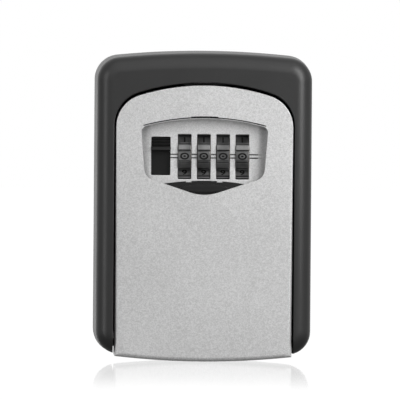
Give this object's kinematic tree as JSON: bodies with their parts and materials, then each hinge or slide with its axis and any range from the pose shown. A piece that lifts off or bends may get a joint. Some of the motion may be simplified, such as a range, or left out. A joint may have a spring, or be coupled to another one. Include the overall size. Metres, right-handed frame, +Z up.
{
  "type": "wall-mounted combination key safe",
  "caption": "Wall-mounted key safe: drop-down silver door with number wheels, open slider and weather shutter, set in a black surround.",
  "frame": {"origin": "centre of the four wall screws, on the wall face of the rear housing", "axes": "+X to the right seen from the front, +Y into the wall, +Z up"},
  "size_m": [0.083, 0.038, 0.118],
  "materials": {
    "housing_metal": "satin black paint on die-cast zinc",
    "bumper_plastic": "fine matte texture",
    "zinc_steel": "zinc-plated pressed steel",
    "black_steel": "blackened pressed steel",
    "bright_steel": "ground steel",
    "spring_steel": "drawn spring wire and strip",
    "door_paint": "silver metallic paint, fine grain",
    "panel_paint": "smooth silver paint",
    "cover_metal": "dark passivated sheet",
    "shutter_plastic": "satin black",
    "slider_plastic": "black, slightly glossy",
    "wheel_metal": "satin chrome with dark numerals",
    "hub_brass": "turned brass"
  },
  "bodies": {
    "housing": {"rear_housing": "housing_metal", "bumper_cover": "bumper_plastic", "bumper_screws": "zinc_steel", "latch_strike": "zinc_steel", "strike_screws": "zinc_steel", "hinge_pin": "bright_steel"},
    "door": {"door_shell": "door_paint", "dial_panel": "panel_paint", "panel_screws": "zinc_steel", "mechanism_cover": "cover_metal", "cover_screws": "zinc_steel", "latch_springs": "spring_steel", "dial_axle": "bright_steel", "axle_clip": "spring_steel", "hub_spring": "spring_steel", "detent_spring": "spring_steel"},
    "shutter": {"shutter": "shutter_plastic"},
    "latch": {"open_slider": "slider_plastic", "latch_plate": "black_steel", "latch_rivets": "bright_steel"},
    "collar": {"shift_collar": "hub_brass"},
    "lever": {"change_lever": "zinc_steel"},
    "dial_1": {"dial_wheel_1": "wheel_metal"},
    "hub_1": {"dial_hub_1": "hub_brass"},
    "dial_2": {"dial_wheel_2": "wheel_metal"},
    "hub_2": {"dial_hub_2": "hub_brass"},
    "dial_3": {"dial_wheel_3": "wheel_metal"},
    "hub_3": {"dial_hub_3": "hub_brass"},
    "dial_4": {"dial_wheel_4": "wheel_metal"},
    "hub_4": {"dial_hub_4": "hub_brass"}
  },
  "joints": [
    {"name": "door_hinge", "type": "hinge", "parent": "housing", "child": "door", "pos_m": [0, -0.015, -0.0505], "axis": [1, 0, 0], "range_deg": [0, 95]},
    {"name": "shutter_slide", "type": "slide", "parent": "door", "child": "shutter", "axis": [0, 0, 1], "range_m": [0, 0.0235]},
    {"name": "latch_slide", "type": "slide", "parent": "door", "child": "latch", "axis": [0, 0, 1], "range_m": [-0.005, 0], "stiffness_N_per_m": 300, "springref_m": 0.004, "deforming": ["latch_springs"]},
    {"name": "dial_1_spin", "type": "hinge", "parent": "door", "child": "dial_1", "pos_m": [0, -0.0229, 0.01815], "axis": [1, 0, 0], "continuous": true, "deforming": ["detent_spring"]},
    {"name": "dial_2_spin", "type": "hinge", "parent": "door", "child": "dial_2", "pos_m": [0, -0.0229, 0.01815], "axis": [1, 0, 0], "continuous": true},
    {"name": "dial_3_spin", "type": "hinge", "parent": "door", "child": "dial_3", "pos_m": [0, -0.0229, 0.01815], "axis": [1, 0, 0], "continuous": true},
    {"name": "dial_4_spin", "type": "hinge", "parent": "door", "child": "dial_4", "pos_m": [0, -0.0229, 0.01815], "axis": [1, 0, 0], "continuous": true},
    {"name": "lever_slide", "type": "slide", "parent": "door", "child": "lever", "axis": [0, 0, 1], "range_m": [0, 0.004]},
    {"name": "collar_shift", "type": "slide", "parent": "door", "child": "collar", "axis": [1, 0, 0], "range_m": [0, 0.0011]},
    {"name": "hub_1_shift", "type": "slide", "parent": "dial_1", "child": "hub_1", "axis": [1, 0, 0], "range_m": [0, 0.0011]},
    {"name": "hub_2_shift", "type": "slide", "parent": "dial_2", "child": "hub_2", "axis": [1, 0, 0], "range_m": [0, 0.0011]},
    {"name": "hub_3_shift", "type": "slide", "parent": "dial_3", "child": "hub_3", "axis": [1, 0, 0], "range_m": [0, 0.0011]},
    {"name": "hub_4_shift", "type": "slide", "parent": "dial_4", "child": "hub_4", "axis": [1, 0, 0], "range_m": [0, 0.0011], "deforming": ["hub_spring"]}
  ],
  "couplings": [
    {"joint": "collar_shift", "follows": "lever_slide", "ratio": 0.275},
    {"joint": "hub_1_shift", "follows": "lever_slide", "ratio": 0.275},
    {"joint": "hub_2_shift", "follows": "lever_slide", "ratio": 0.275},
    {"joint": "hub_3_shift", "follows": "lever_slide", "ratio": 0.275},
    {"joint": "hub_4_shift", "follows": "lever_slide", "ratio": 0.275}
  ]
}
